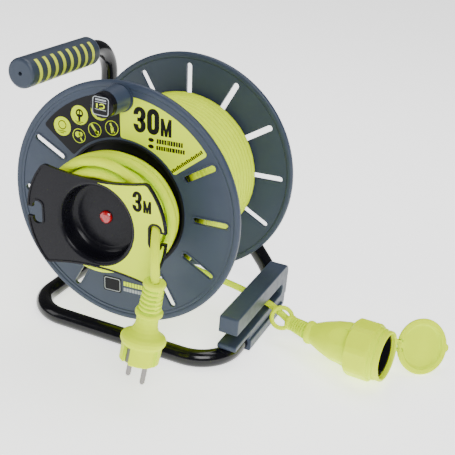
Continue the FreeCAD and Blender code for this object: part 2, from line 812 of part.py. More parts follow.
def plug_body():
    """Plug with a waist, a wide grip flange and a nose with recesses for the earth strips."""
    flange_at = 21.9
    nose_at = 29.0
    r = plug_flange_r
    profile = [
        (0.0, -2.4), (10.2, -2.4), (10.4, 0.0), (10.0, 3.0), (10.1, 7.0), (10.8, 11.0), (12.4, 14.6), (15.6, 17.6),
        (19.4, 19.6), (r - 0.6, flange_at - 0.9), (r, flange_at), (r, flange_at + 3.4), (r - 0.7, flange_at + 4.8),
        (r - 2.0, nose_at - 0.9), (plug_nose_r, nose_at), (plug_nose_r - 0.3, plug_length - 1.4),
        (plug_nose_r - 1.6, plug_length), (0.0, plug_length),
    ]
    body = turned(profile)
    for side in (-1, 1):
        low, high = sorted((side * 14.2, side * 20.0))
        body = body.cut(block(-4.2, 4.2, nose_at + 0.4, plug_length + 1, low, high))
        low, high = sorted((side * 16.4, side * 20.0))
        body = body.cut(block(low, high, nose_at + 0.4, plug_length + 1, -2.6, 2.6))
    for x in pin_places():
        body = body.cut(rod(pin_root_r, plug_length - pin_root, plug_length + 1, x))
    lead_room = framed(rod(cord_r + 0.02, -20, relief_end), plug_top, relief_axis, pin_side)
    return plug_frame(body).cut(plug_relief()).cut(lead_room)


def pin_places():
    return (-pin_pitch / 2, pin_pitch / 2)


def plug_pins():
    """Two round pins, each with a thinner root in the nose."""
    root = plug_length - pin_root
    tip = plug_length + pin_length
    pin = turned([
        (0.0, root), (pin_root_r, root), (pin_root_r, plug_length), (pin_r, plug_length), (pin_r, tip - 1.6),
        (pin_r * 0.62, tip), (0.0, tip),
    ])
    pins = []
    for x in pin_places():
        one = pin.copy()
        one.translate(V(x, 0, 0))
        pins.append(plug_frame(one))
    return group(pins)


def plug_earths():
    """Earth contact strips in the nose's two wide recesses."""
    strips = []
    for side in (-1, 1):
        low, high = sorted((side * 14.2, side * 15.0))
        strips.append(plug_frame(block(-2.6, 2.6, 30.4, plug_length - 1.0, low, high)))
    return group(strips)


# ---- cable end and socket -----------------------------------------------------------------------------
rim_centre = V(258.1, 4.2, -123.5)
socket_yaw = -8.5
socket_rise = 4.0
socket_length = 88.0        # rear collar to the rim's face
relief_start = V(149.6, 25.1, -129.7)
collar_start = 51.5
collar_end = 77.0
collar_r = 28.2             # half the distance across the collar's flats
rim_r = 25.6
recess_r = 19.7
recess_depth = 17.0
mouth_r = 22.4              # the lime rim's inside, down to the floor of the recess
liner_end = 5.0             # rim's face to the lining's edge
insert_depth = 9.0
hinge_r = 26.9
hinge_ahead = 1.7           # hinge line ahead of the rim's face
hinge_lean = V(-0.16, -0.13, 1.0)
hinge_lift = 0.5
hinge_pin_r = 1.0
knuckle_r = 2.4
ear_inner = 3.3
ear_outer = 6.0
lid_r = 28.7
lid_gap = 0.7
lid_lift = 0.4              # the lid's centre above the socket's axis
lid_open = 141.3

cable_route = [
    V(-29.4, 22.0, -80.8),
    V(6.0, 28.0, -94.8),
    V(42.0, 37.0, -108.0),
    V(76.0, 43.5, -116.0),
    V(104.0, 45.5, -122.8),
    V(128.5, 38.6, -125.8),
    relief_start,
]


def trailing_cable():
    return cord(cable_route, cable_r)


def socket_direction():
    yaw = math.radians(socket_yaw)
    rise = math.radians(socket_rise)
    return V(math.cos(yaw) * math.cos(rise), math.sin(yaw) * math.cos(rise), math.sin(rise))


def socket_frame(shape):
    """Laid along the socket's axis, with zero at the rear collar and +X towards the reel's front."""
    axis = socket_direction()
    return framed(shape, rim_centre - axis * socket_length, axis, axis.cross(V(0, 0, 1)))


def socket_relief():
    """Ribbed strain relief with its hanging eye, moulded in one."""
    start = relief_start
    end = rim_centre - socket_direction() * socket_length
    axis = (end - start).normalize()
    length = (end - start).Length
    root = 5.4
    profile = [(0.0, -2.4), (6.4, -2.4), (7.7, -1.4), (8.2, 0.4), (8.2, 2.4), (7.4, 3.6), (root, 4.2)]
    ribs = 6
    pitch = (length - 4.8) / ribs
    for i in range(ribs):
        y = 4.8 + pitch * i
        crest = 7.7 + 0.24 * i
        profile += [(root, y), (crest, y + 0.2), (crest, y + pitch * 0.55), (root, y + pitch * 0.55 + 0.2)]
    profile += [(root, length), (0.0, length)]
    ribbed = turned(profile)
    for side in (-1, 1):
        low, high = sorted((side * (root - 0.8), side * 7.5))
        ribbed = joined([ribbed, block(low, high, 3.0, length - 0.5, -1.6, 1.6)])
    body = joined([framed(ribbed, start, axis, V(0, 0, 1)), hanging_eye(start, axis)])
    bore = framed(rod(cable_r + 0.02, -30, length + 1), start, axis, V(0, 0, 1))
    return body.cut(bore).cut(trailing_cable())


def hanging_eye(start, axis):
    """Round eye behind the relief's collar. It leans to the front, so that the cable passes behind it."""
    eye_r = 10.7
    eye_thick = 2.3
    lean = V(0.245, -0.828, 0.504)
    lean = (lean - axis * lean.dot(axis)).normalize()
    outward = (axis * -math.cos(math.radians(28)) + lean * math.sin(math.radians(28))).normalize()
    normal = outward.cross(axis.cross(lean)).normalize()
    centre = start - axis * 7.6 + lean * 6.0
    return Part.makeTorus(eye_r, eye_thick, centre, normal)


def socket_body():
    """Rear body of the socket: a collar, then a cone with four finger flats."""
    wall = 4.4
    profile = [
        (cable_r + 0.6, 0.0), (9.8, 0.0), (11.7, 1.0), (12.3, 3.2), (11.9, 5.6), (10.9, 7.2), (11.8, 9.0),
        (16.2, 19.0), (20.4, 32.0), (22.6, 43.0), (23.4, collar_start), (23.4 - wall, collar_start),
        (22.6 - wall, 43.0), (20.4 - wall, 32.0), (16.2 - wall, 19.0), (cable_r + 0.6, 12.0),
    ]
    body = turned(profile)
    flat_at = 20.0
    for degrees in (45, 135, 225, 315):
        flat = block(flat_at, 40, 22.0, collar_start + 1, -9.0, 9.0)
        body = body.cut(spun(flat, degrees))
    return socket_frame(body).cut(socket_relief())


def socket_front():
    """Eight-sided collar, round rim and the recess for a plug, with two ears for the lid's hinge."""
    across = collar_r / math.cos(math.radians(22.5))
    octagon = Part.Face(Part.makePolygon([polar(across, 22.5 + 45 * i, collar_start) for i in range(9)]))
    collar = octagon.extrude(V(0, collar_end - collar_start, 0))
    edge = 2.2
    collar = collar.common(turned([
        (0.0, collar_start), (collar_r - 1.0, collar_start), (collar_r + 1.3, collar_start + edge),
        (collar_r + 1.3, collar_end - edge), (collar_r - 1.0, collar_end), (0.0, collar_end),
    ]))
    step_end = socket_length - 7.0
    rim = turned([
        (0.0, collar_end - 1.0), (26.4, collar_end - 1.0), (26.4, step_end - 0.8), (25.8, step_end),
        (24.9, step_end), (24.9, step_end + 0.8), (rim_r, step_end + 1.6), (rim_r, socket_length - 1.2),
        (rim_r - 0.5, socket_length - 0.3), (rim_r - 1.4, socket_length), (0.0, socket_length),
    ])
    floor = socket_length - recess_depth - insert_depth
    recess = turned([
        (0.0, floor), (recess_r, floor), (recess_r, socket_length - recess_depth),
        (mouth_r, socket_length - recess_depth), (mouth_r, socket_length - 1.4), (mouth_r + 0.8, socket_length + 0.01),
        (0.0, socket_length + 0.01),
    ])
    inside = rod(recess_r - 2.2, collar_start - 1, floor + 1)
    body = joined([collar, rim] + hinge_ears()).cut(recess).cut(inside)
    knuckle_room = hinged(Part.makeCylinder(knuckle_r + 0.4, 2 * ear_inner, V(0, 0, -ear_inner)))
    pin_room = hinged(Part.makeCylinder(hinge_pin_r, 30, V(0, 0, -15)))
    return socket_frame(body.cut(knuckle_room).cut(pin_room))


def hinge_point():
    return V(-hinge_r, socket_length + hinge_ahead, hinge_lift)


def hinged(shape):
    """Shape drawn with the hinge line on +Z, the socket's axis on +Y and the way in to it on +X."""
    lean = FreeCAD.Placement(hinge_point(), FreeCAD.Rotation(V(0, 0, 1), hinge_lean))
    moved = shape.copy()
    moved.Placement = lean.multiply(moved.Placement)
    return moved


def hinge_ears():
    """Two ears that stand on the collar's front face and hold the hinge pin."""
    ears = []
    foot = collar_end - 0.5 - socket_length - hinge_ahead
    for low in (ear_inner, -ear_outer):
        eye = Part.makeCylinder(knuckle_r, ear_outer - ear_inner, V(0, 0, low))
        web = block(-knuckle_r, knuckle_r, foot, 0, low, low + ear_outer - ear_inner)
        ears.append(hinged(joined([eye, web])))
    return ears


def lid_hinge_pin():
    return socket_frame(hinged(Part.makeCylinder(hinge_pin_r, 2 * ear_outer + 0.6, V(0, 0, -ear_outer - 0.3))))


def socket_insert():
    """Black contact carrier at the bottom of the recess."""
    front = socket_length - recess_depth
    body = rod(recess_r - 0.02, front - insert_depth, front)
    for x in pin_places():
        body = body.cut(rod(3.0, front - insert_depth + 1.0, front + 1, x))
    return socket_frame(body)


def socket_liner():
    """Black lining round the recess, from its floor to just inside the mouth."""
    front = socket_length - liner_end
    return socket_frame(ring(mouth_r - 0.02, recess_r, socket_length - recess_depth, front))


def socket_contacts():
    """Two brass sleeves behind the pin holes."""
    front = socket_length - recess_depth - 1.0
    back = front - insert_depth + 2.0
    sleeves = [rod(3.0, back, front, x).cut(rod(2.45, back + 1.0, front + 1, x)) for x in pin_places()]
    return group([socket_frame(sleeve) for sleeve in sleeves])


def socket_earths():
    """Two sprung earth strips on the wall of the recess."""
    front = socket_length - 4.0
    back = socket_length - recess_depth
    strips = []
    for side in (-1, 1):
        low, high = sorted((side * (recess_r - 1.1), side * (recess_r - 0.3)))
        strips.append(socket_frame(block(-2.0, 2.0, back, front, low, high)))
    return group(strips)


def socket_lid():
    """Round lid with a raised lip, a knuckle on the hinge pin and a finger tab, drawn shut, then opened."""
    low = socket_length + lid_gap
    disc_low = low + 3.2
    high = low + 5.8
    recess = 22.6
    lid = turned([
        (0.0, disc_low), (recess - 1.4, disc_low), (recess, disc_low - 1.0), (recess + 0.3, low + 0.9),
        (recess + 1.2, low), (lid_r - 1.5, low), (lid_r - 0.4, low + 0.5), (lid_r, low + 1.6),
        (lid_r - 0.3, high - 2.4), (lid_r - 2.6, high - 0.5), (lid_r - 4.6, high), (0.0, high),
    ])
    tab = rod(4.4, low + 1.2, high - 1.4, lid_r - 1.8)
    lid = joined([lid, tab])
    lid.translate(V(0, 0, lid_lift))
    notch_half = ear_outer + 0.5
    notch = hinged(block(-9, knuckle_r + 1.4, -12, 12, -notch_half, notch_half))
    knuckle = Part.makeCylinder(knuckle_r, 2 * ear_inner - 0.8, V(0, 0, 0.4 - ear_inner))
    bridge = block(0, knuckle_r + 3.4, -0.4, knuckle_r, 0.4 - ear_inner, ear_inner - 0.4)
    arm = hinged(joined([knuckle, bridge]))
    lid = joined([lid.cut(notch), arm])
    lid = lid.cut(hinged(Part.makeCylinder(hinge_pin_r + running_gap, 30, V(0, 0, -15))))
    lid.rotate(hinge_point(), hinge_lean, lid_open)
    return socket_frame(lid)


# ---- the assembly -------------------------------------------------------------------------------------
bodies = {
    "frame": {
        "frame_tube": frame_tube,
        "grip_sleeve": grip_sleeve,
        "grip_bands": grip_rings,
        "axle_plug": axle_plug,
        "axle_washer": axle_washer,
        "axle_bolt": axle_bolt,
        "axle_collar": axle_collar,
        "cord_guide_inner": lambda: guide_half_shell(-1),
        "cord_guide_outer": lambda: guide_half_shell(1),
        "guide_screws": guide_screws,
        "trailing_cable": trailing_cable,
        "socket_relief": socket_relief,
        "socket_body": socket_body,
        "socket_front": socket_front,
        "socket_insert": socket_insert,
        "socket_liner": socket_liner,
        "socket_contacts": socket_contacts,
        "socket_earths": socket_earths,
        "lid_hinge_pin": lid_hinge_pin,
    },
    "drum": {
        "front_flange": front_flange,
        "rear_flange": rear_flange,
        "barrel": barrel,
        "front_bush": lambda: bush(-well_floor, -42.0),
        "rear_bush": lambda: bush(50.0, web_front),
        "flange_screws": flange_screws,
        "cable_winding": winding,
        "lead_tray": lead_tray,
        "tray_core": tray_core,
        "tidy_plate": tidy_plate,
        "tidy_dish": tidy_dish,
        "tray_screws": tray_screws,
        "cutout_screws": cutout_screws,
        "thermal_cutout": thermal_cutout,
        "cutout_tabs": cutout_tabs,
        "terminal_block": terminal_block,
        "terminal_screws": terminal_screws,
        "label_length": label_length,
        "label_icons": label_icons,
        "label_tidy": label_tidy,
        "badge": badge,
        "lead_coil": lead_coil,
        "hanging_lead": hanging_lead,
        "plug_relief": plug_relief,
        "plug_body": plug_body,
        "plug_pins": plug_pins,
        "plug_earths": plug_earths,
        "knob_pin": knob_pin,
    },
    "knob": {"knob_sleeve": knob_sleeve, "knob_cap": knob_cap},
    "button": {"reset_button": reset_button},
    "lid": {"socket_lid": socket_lid},
}


def build():
    """Every node's shape in the row's frame, with the origin on the ground under the reel."""
    shapes = {}
    for body in bodies.values():
        for name, make in body.items():
            shape = make()
            shape.translate(V(-origin_x, -origin_y, -ground_z))
            shapes[name] = shape
    return shapes


if __name__ == "__main__":
    os.makedirs("parts", exist_ok=True)
    for name, shape in build().items():
        shape.exportStep("parts/%s.step" % name)
        solids = len(shape.Solids)
        print("%-18s solids %d valid %s volume %.1f" % (name, solids, shape.isValid(), shape.Volume))
    report_cord("trailing_cable", cable_route, cable_r)
    report_cord("hanging_lead", lead_route, cord_r)
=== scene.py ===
import math
import bpy
import bmesh
from mathutils import Matrix, Vector


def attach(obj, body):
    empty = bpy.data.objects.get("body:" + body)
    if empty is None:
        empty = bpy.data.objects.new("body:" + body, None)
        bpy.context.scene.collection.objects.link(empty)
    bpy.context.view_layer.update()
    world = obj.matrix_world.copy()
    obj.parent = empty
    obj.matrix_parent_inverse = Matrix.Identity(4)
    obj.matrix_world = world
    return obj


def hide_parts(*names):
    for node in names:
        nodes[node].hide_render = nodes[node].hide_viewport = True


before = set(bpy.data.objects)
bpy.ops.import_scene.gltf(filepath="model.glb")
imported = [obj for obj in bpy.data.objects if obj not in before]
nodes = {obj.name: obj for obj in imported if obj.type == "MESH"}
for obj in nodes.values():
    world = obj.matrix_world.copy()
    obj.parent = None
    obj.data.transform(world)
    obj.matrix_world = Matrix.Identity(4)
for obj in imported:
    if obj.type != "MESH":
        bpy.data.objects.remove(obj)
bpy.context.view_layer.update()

# Everything is in metres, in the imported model's frame. The drum's centre is at HUB.
HUB = Vector((0.001125, 0.002115, 0.1544))


def mm(x, y, z):
    """Point given in millimetres from the drum's centre."""
    return HUB + Vector((x, y, z)) / 1000


# ---- camera -------------------------------------------------------------------------------------------
camera_data = bpy.data.cameras.new("camera")
camera_data.lens = 68.8
camera_data.sensor_width = 36.0
camera_data.clip_start = 0.05
camera_data.clip_end = 50.0
camera = bpy.data.objects.new("camera", camera_data)
right = Vector((0.91207, 0.40112, 0.08502)).normalized()
back = Vector((0.33274, -0.84522, 0.41819)).normalized()
up = back.cross(right).normalized()
right = up.cross(back).normalized()
place = mm(368.12, -732.55, 333.21)
camera.matrix_world = Matrix((
    (right.x, up.x, back.x, place.x),
    (right.y, up.y, back.y, place.y),
    (right.z, up.z, back.z, place.z),
    (0, 0, 0, 1)))
bpy.context.scene.collection.objects.link(camera)
bpy.context.scene.camera = camera


# ---- materials ----------------------------------------------------------------------------------------
def shaded(color, factor):
    return tuple(min(1.0, c * factor) for c in color[:3]) + (1.0,)


def noise_node(tree, scale, detail, coords):
    node = tree.nodes.new("ShaderNodeTexNoise")
    node.inputs["Scale"].default_value = scale
    node.inputs["Detail"].default_value = detail
    node.inputs["Roughness"].default_value = 0.55
    tree.links.new(coords, node.inputs["Vector"])
    return node


def ramp_node(tree, source, stops):
    node = tree.nodes.new("ShaderNodeValToRGB")
    ramp = node.color_ramp
    while len(ramp.elements) < len(stops):
        ramp.elements.new(0.5)
    for element, (position, color) in zip(ramp.elements, stops):
        element.position = position
        element.color = color
    tree.links.new(source, node.inputs["Fac"])
    return node


def surface(name, color, rough, metallic=0.0, coat=0.0, spec=0.5, vary=0.08, vary_scale=40.0,
            rough_vary=0.08, grain=0.0, grain_scale=1800.0, waves=0.0, wave_scale=90.0, subsurface=0.0):
    """Moulded or painted surface: mottled colour, uneven gloss, fine grain and slow waviness."""
    made = bpy.data.materials.new(name)
    made.use_nodes = True
    tree = made.node_tree
    shader = tree.nodes["Principled BSDF"]
    shader.inputs["Metallic"].default_value = metallic
    shader.inputs["Coat Weight"].default_value = coat
    shader.inputs["Coat Roughness"].default_value = 0.12
    shader.inputs["Specular IOR Level"].default_value = spec
    if subsurface:
        shader.inputs["Subsurface Weight"].default_value = subsurface
        shader.inputs["Subsurface Radius"].default_value = (0.004, 0.004, 0.001)
        shader.inputs["Subsurface Scale"].default_value = 0.5
    coords = tree.nodes.new("ShaderNodeTexCoord").outputs["Object"]
    mottle = noise_node(tree, vary_scale, 4.0, coords)
    tint = ramp_node(tree, mottle.outputs["Fac"],
                     [(0.25, shaded(color, 1 - vary)), (0.75, shaded(color, 1 + vary))])
    tree.links.new(tint.outputs["Color"], shader.inputs["Base Color"])
    gloss = noise_node(tree, vary_scale * 3.1, 5.0, coords)
    spread = tree.nodes.new("ShaderNodeMapRange")
    spread.inputs["From Min"].default_value = 0.25
    spread.inputs["From Max"].default_value = 0.75
    spread.inputs["To Min"].default_value = max(0.02, rough - rough_vary)
    spread.inputs["To Max"].default_value = min(1.0, rough + rough_vary)
    tree.links.new(gloss.outputs["Fac"], spread.inputs["Value"])
    tree.links.new(spread.outputs["Result"], shader.inputs["Roughness"])
    normal = None
    for strength, scale, distance in ((waves, wave_scale, 0.0006), (grain, grain_scale, 0.00012)):
        if strength:
            bumps = noise_node(tree, scale, 3.0, coords)
            bump = tree.nodes.new("ShaderNodeBump")
            bump.inputs["Strength"].default_value = strength
            bump.inputs["Distance"].default_value = distance
            tree.links.new(bumps.outputs["Fac"], bump.inputs["Height"])
            if normal:
                tree.links.new(normal, bump.inputs["Normal"])
            normal = bump.outputs["Normal"]
    if normal:
        tree.links.new(normal, shader.inputs["Normal"])
    return made


LIME = (0.75, 0.94, 0.0, 1.0)
SLATE = (0.036, 0.050, 0.080, 1.0)
BLACK = (0.006, 0.006, 0.009, 1.0)

slate = surface("slate_plastic", SLATE, 0.40, spec=0.30, vary=0.06, grain=0.35, waves=0.05)
slate_grip = surface("slate_grip", (0.035, 0.048, 0.072, 1.0), 0.42, spec=0.3, vary=0.06, grain=0.25,
                     waves=0.05)
black_plastic = surface("black_plastic", BLACK, 0.38, spec=0.16, vary=0.12, grain=0.25, waves=0.06)
black_gloss = surface("black_gloss", BLACK, 0.26, spec=0.17, vary=0.15, grain=0.10)
tube_paint = surface("tube_paint", (0.003, 0.003, 0.005, 1.0), 0.17, spec=0.3, coat=0.15, vary=0.15,
                     waves=0.10, grain=0.10, grain_scale=700.0)
lime_rubber = surface("lime_rubber", LIME, 0.42, spec=0.08, vary=0.035, grain=0.25, grain_scale=1300.0,
                      waves=0.12, subsurface=0.06)
lime_cable = surface("lime_cable", LIME, 0.38, spec=0.08, vary=0.05, vary_scale=70.0,
                     grain=0.2, waves=0.18, wave_scale=60.0, subsurface=0.05)
lime_band = surface("lime_band", (0.72, 0.80, 0.05, 1.0), 0.42, spec=0.3, vary=0.04, grain=0.3)
lime_label = surface("lime_label", LIME, 0.30, spec=0.08, vary=0.02, rough_vary=0.04,
                     grain=0.05, coat=0.1)
black_label = surface("black_label", (0.008, 0.008, 0.010, 1.0), 0.32, spec=0.14, vary=0.10, rough_vary=0.04,
                      grain=0.05)
print_black = surface("print_black", (0.004, 0.004, 0.004, 1.0), 0.40, spec=0.1, vary=0.05, rough_vary=0.04)
print_lime = surface("print_lime", LIME, 0.35, spec=0.08, vary=0.02, rough_vary=0.04)
print_grey = surface("print_grey", (0.34, 0.37, 0.40, 1.0), 0.35, vary=0.03, rough_vary=0.04)
red_button = surface("red_button", (0.42, 0.006, 0.010, 1.0), 0.14, coat=0.8, vary=0.06, rough_vary=0.05,
                     subsurface=0.1)
nickel = surface("nickel", (0.22, 0.21, 0.20, 1.0), 0.20, metallic=1.0, vary=0.05, grain=0.1,
                 grain_scale=2500.0)
dull_steel = surface("dull_steel", (0.16, 0.16, 0.15, 1.0), 0.45, metallic=1.0, vary=0.08, grain=0.2)
steel = surface("steel", (0.28, 0.29, 0.30, 1.0), 0.32, metallic=1.0, vary=0.08, grain=0.3,
                grain_scale=2500.0)
brass = surface("brass", (0.60, 0.40, 0.12, 1.0), 0.28, metallic=1.0, vary=0.06, grain=0.2)
ivory = surface("ivory", (0.66, 0.62, 0.50, 1.0), 0.45, vary=0.04, grain=0.2)

finishes = {
    slate: ("front_flange", "rear_flange", "cord_guide_inner", "cord_guide_outer", "knob_sleeve"),
    slate_grip: ("grip_sleeve",),
    tube_paint: ("frame_tube",),
    lime_band: ("grip_bands",),
    black_plastic: ("barrel", "front_bush", "rear_bush", "lead_tray", "tray_core", "thermal_cutout",
                    "socket_insert", "socket_liner"),
    black_gloss: ("tidy_plate", "tidy_dish", "knob_cap"),
    lime_rubber: ("socket_relief", "socket_body", "socket_front", "socket_lid", "plug_relief", "plug_body"),
    lime_label: ("label_length", "label_tidy"),
    black_label: ("label_icons", "badge"),
    red_button: ("reset_button",),
    nickel: ("plug_pins",),
    dull_steel: ("plug_earths",),
    steel: ("axle_plug", "axle_washer", "axle_bolt", "axle_collar", "guide_screws", "flange_screws",
            "tray_screws", "cutout_screws", "socket_earths", "lid_hinge_pin", "knob_pin"),
    brass: ("socket_contacts", "cutout_tabs", "terminal_screws"),
    ivory: ("terminal_block",),
}
for finish, names in finishes.items():
    for name in names:
        mesh = nodes[name].data
        mesh.materials.clear()
        mesh.materials.append(finish)


# ---- pieces -------------------------------------------------------------------------------------------
def linked(name, data, finish):
    piece = bpy.data.objects.new(name, data)
    bpy.context.scene.collection.objects.link(piece)
    data.materials.append(finish)
    return piece


def cable_piece(name, points, radius, finish, smooth=3, rings=4):
    """Round cord along one smooth spline with those control points."""
    curve = bpy.data.curves.new(name, "CURVE")
    curve.dimensions = "3D"
    spline = curve.splines.new("NURBS")
    spline.points.add(len(points) - 1)
    for target, point in zip(spline.points, points):
        target.co = (point[0], point[1], point[2], 1.0)
    spline.order_u = 3
    spline.use_endpoint_u = True
    spline.resolution_u = smooth
    curve.bevel_depth = radius
    curve.bevel_resolution = rings
    curve.use_fill_caps = True
    return linked(name, curve, finish)


def around(radius, degrees, y):
    """Point at a radius and angle about the drum's axis, in millimetres from its centre."""
    a = math.radians(degrees)
    return mm(radius * math.cos(a), y, radius * math.sin(a))


def eased(t):
    t = max(0.0, min(1.0, t))
    return t * t * (3 - 2 * t)


# The long cable's turns on the drum, in layers. The last turn climbs off the top layer towards the guide.
CABLE_R = 3.65
STEPS = 24                  # points in a turn
SWELL = 1.003               # the spline runs this much inside its points
layer_r = (55.75, 62.95, 70.15, 77.35)
layer_turns = (17, 17, 17, 18)
layer_front = (-51.1, -51.1, -51.1, -63.6)      # the first three lie behind the well of the lead tidy
layer_rear = 63.6
lead_out = 250.0            # angle at which the cable leaves the drum
CLIMB = 0.35                # part of a turn in which the cable climbs to the next layer
LEAVE = 0.36                # part of a turn in which it leaves the top layer
LEAVE_RISE = 8.65
LEAVE_Y = 22.0
winding_points = []
total = sum(layer_turns)
start_angle = lead_out - 360.0 * total
for i in range(total * STEPS + 1):
    done = i / STEPS
    layer = 0
    along = done
    while layer < 3 and along >= layer_turns[layer]:
        along -= layer_turns[layer]
        layer += 1
    turns = layer_turns[layer]
    part = along / turns if layer % 2 == 0 else 1 - along / turns
    y = layer_front[layer] + (layer_rear - layer_front[layer]) * part
    radius = layer_r[layer]
    if layer < 3:
        climb = eased((along - turns + CLIMB) / CLIMB)
        radius += climb * (layer_r[layer + 1] - radius)
    wander = 0.22 * math.sin(done * 5.1) + 0.16 * math.sin(done * 2.3 + 1.0)
    y += wander if 0.5 < along < turns - 0.5 else 0.0
    left = total - done
    if left < LEAVE:
        t = eased(1 - left / LEAVE)
        radius += t * LEAVE_RISE
        y += t * (LEAVE_Y - y)
    winding_points.append(around(radius * SWELL, start_angle + 360.0 * done, y))
winding = cable_piece("cable_turns", winding_points, CABLE_R / 1000, lime_cable, smooth=2, rings=3)
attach(winding, "drum")
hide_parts("cable_winding")

# The stretch from the drum through the guide to the socket.
cable_route = [
    (-0.028275, 0.024115, 0.0736), (0.007125, 0.030115, 0.0596), (0.043125, 0.039115, 0.0464),
    (0.077125, 0.045615, 0.0384), (0.105125, 0.047615, 0.0316), (0.129625, 0.040715, 0.0286),
    (0.150725, 0.027215, 0.0247)]
trailing = cable_piece("trailing_stretch", cable_route, CABLE_R / 1000, lime_cable, smooth=16, rings=6)
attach(trailing, "frame")
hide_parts("trailing_cable")

# The 3 m lead, coiled in the tidy, then out through the right notch to its plug.
LEAD_R = 4.25
lead_route = [
    (0.047625, -0.105785, 0.1869), (0.056125, -0.107685, 0.1727), (0.062025, -0.117485, 0.159),
    (0.066325, -0.127085, 0.147), (0.068925, -0.129585, 0.1338), (0.069725, -0.129585, 0.1212)]
last_angle = 35.0
cross_at = 0.41             # part of each turn at which it moves to its next place
cross_half = 0.10
inner_r = 46.2
inner_rows = 7
inner_front = -114.0
inner_depth = 47.6
tray_back = -66.6           # no slack turn lies behind this
places = [(56.0, -110.3), (57.3, -95.0), (55.0, -86.2)]
places += [(inner_r, inner_front + inner_depth * k / (inner_rows - 1)) for k in range(inner_rows)]
coil_turns = cross_at + len(places) - 1
# The second and third places lie slack: they lean back on the right side of the coil.
lean_table = ((183, -12), (232, 20), (320, 20), (360, 15), (395, 10), (450, 0), (510, -9), (543, -12))


def lean(degrees):
    """How far back a slack turn lies at an angle, in millimetres."""
    first = lean_table[0][0]
    turned = first + (degrees - first) % 360
    for (a, low), (b, high) in zip(lean_table, lean_table[1:]):
        if turned <= b:
            return low + (high - low) * eased((turned - a) / (b - a))
    return lean_table[-1][1]


def seat_place(seat, degrees):
    radius, y = places[max(0, min(seat, len(places) - 1))]
    if seat in (1, 2):
        y = min(tray_back, y + lean(degrees))
    return radius, y


coil_points = []
count = int(coil_turns * STEPS)     # points of the coil, from its inner end to the one beside the notch
for i in range(count):
    back_turns = (count - i) / STEPS
    angle = last_angle + 360.0 * back_turns
    seat = int(back_turns + 1 - cross_at)
    into = back_turns + 1 - cross_at - seat
    here = seat_place(seat, angle)
    before = seat_place(seat - 1, angle)
    after = seat_place(seat + 1, angle)
    leaving = 0.5 * eased((into - 1 + cross_half) / cross_half)
    coming = 0.5 * eased(1 - into / cross_half) if seat else 0.0
    radius, y = (h + (a - h) * leaving + (b - h) * coming for h, a, b in zip(here, after, before))
    loose = 0.4 * math.sin(back_turns * 3.7)
    coil_points.append(around(radius + loose, angle, y))
lead = cable_piece("lead", coil_points + [Vector(p) for p in lead_route], LEAD_R / 1000, lime_cable,
                   smooth=4, rings=5)
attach(lead, "drum")
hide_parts("lead_coil", "hanging_lead")


# ---- prints -------------------------------------------------------------------------------------------
LABEL_Y = -71.35            # front of the flange's labels
FLANGE_Y = -71.0            # front of the flange
TIDY_Y = -121.35            # front of the tidy's label
CAP_Y = -105.0              # front of the knob's cap
BADGE_AT = (-8.34, -86.60)
CAP_AT = (-6.763, 104.582)
TILT = 3.2                  # the drum stands turned this far, in degrees
INK = 0.05                  # thickness of a print


def flat_mesh(name, outlines, y, thick, finish, body):
    """Thin plates from (x, z) outlines in millimetres, on the plane at y and facing the front."""
    mesh = bmesh.new()
    for outline in outlines:
        front = [mesh.verts.new(mm(x, y - thick, z)) for x, z in outline]
        rear = [mesh.verts.new(mm(x, y - 0.01, z)) for x, z in outline]
        mesh.faces.new(front)
        for a in range(len(outline)):
            b = (a + 1) % len(outline)
            mesh.faces.new((front[a], rear[a], rear[b], front[b]))
    bmesh.ops.recalc_face_normals(mesh, faces=mesh.faces)
    data = bpy.data.meshes.new(name)
    mesh.to_mesh(data)
    mesh.free()
    piece = linked(name, data, finish)
    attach(piece, body)
    return piece


def disc(cx, cz, radius, count=40):
    return [(cx + radius * math.cos(2 * math.pi * i / count), cz + radius * math.sin(2 * math.pi * i / count))
            for i in range(count)]


def loop(cx, cz, radius, width, count=40):
    """Ring as a row of four-cornered plates."""
    pieces = []
    for i in range(count):
        a = 2 * math.pi * i / count
        b = 2 * math.pi * (i + 1) / count
        pieces.append([
            (cx + radius * math.cos(a), cz + radius * math.sin(a)),
            (cx + radius * math.cos(b), cz + radius * math.sin(b)),
            (cx + (radius - width) * math.cos(b), cz + (radius - width) * math.sin(b)),
            (cx + (radius - width) * math.cos(a), cz + (radius - width) * math.sin(a))])
    return pieces


def bar(x0, z0, x1, z1, width):
    """Straight stroke from one point to another."""
    dx, dz = x1 - x0, z1 - z0
    length = math.hypot(dx, dz)
    nx, nz = -dz / length * width / 2, dx / length * width / 2
    return [(x0 + nx, z0 + nz), (x0 - nx, z0 - nz), (x1 - nx, z1 - nz), (x1 + nx, z1 + nz)]


def stroke(points, width, closed=False):
    """Constant-width stroke along a path, as a row of plates."""
    count = len(points)
    sides = []
    for i, (x, z) in enumerate(points):
        ahead = points[(i + 1) % count] if closed or i + 1 < count else points[i]
        behind = points[i - 1] if closed or i else points[i]
        inward = (x - behind[0], z - behind[1])
        onward = (ahead[0] - x, ahead[1] - z)
        if not any(inward):
            inward = onward
        if not any(onward):
            onward = inward
        a = Vector((-inward[1], inward[0])).normalized()
        b = Vector((-onward[1], onward[0])).normalized()
        miter = (a + b).normalized()
        reach = width / 2 / max(0.5, miter.dot(a))
        sides.append(((x + miter.x * reach, z + miter.y * reach), (x - miter.x * reach, z - miter.y * reach)))
    ends = count if closed else count - 1
    return [[*sides[i], *reversed(sides[(i + 1) % count])] for i in range(ends)]


def arc(cx, cz, rx, rz, start, stop, steps=10):
    angles = [math.radians(start + (stop - start) * i / steps) for i in range(steps + 1)]
    return [(cx + rx * math.cos(a), cz + rz * math.sin(a)) for a in angles]


